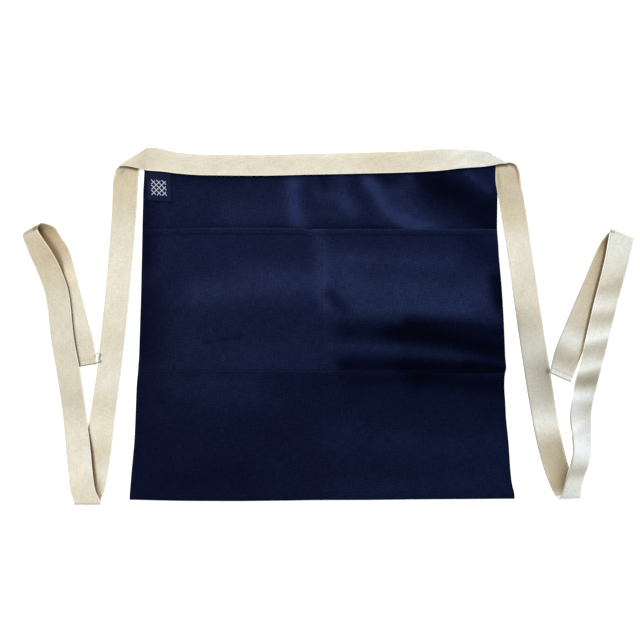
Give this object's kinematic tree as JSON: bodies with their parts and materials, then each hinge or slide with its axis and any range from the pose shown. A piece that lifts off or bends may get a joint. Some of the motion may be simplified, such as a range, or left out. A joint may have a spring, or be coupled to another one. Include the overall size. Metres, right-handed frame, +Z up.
{
  "type": "waist apron",
  "caption": "Short cotton canvas work apron lying flat: skirt with a divided front pocket, a tape waistband and long folded tape ties.",
  "frame": {"origin": "bottom centre of the box around the whole apron, on the surface that it lies on", "axes": "+Z up out of the front of the apron, +Y from the hem towards the waistband, +X towards the right tie as seen from the front"},
  "size_m": [0.9604, 0.5602, 0.0219],
  "materials": {
    "navy_canvas": "matte cotton canvas",
    "cream_tape": "matte cotton canvas tape",
    "label_weave": "woven satin ribbon"
  },
  "bodies": {
    "root": {"skirt_panel": "navy_canvas", "pocket_panel": "navy_canvas", "waistband": "cream_tape", "left_tie": "cream_tape", "right_tie": "cream_tape", "label": "label_weave"}
  },
  "joints": []
}
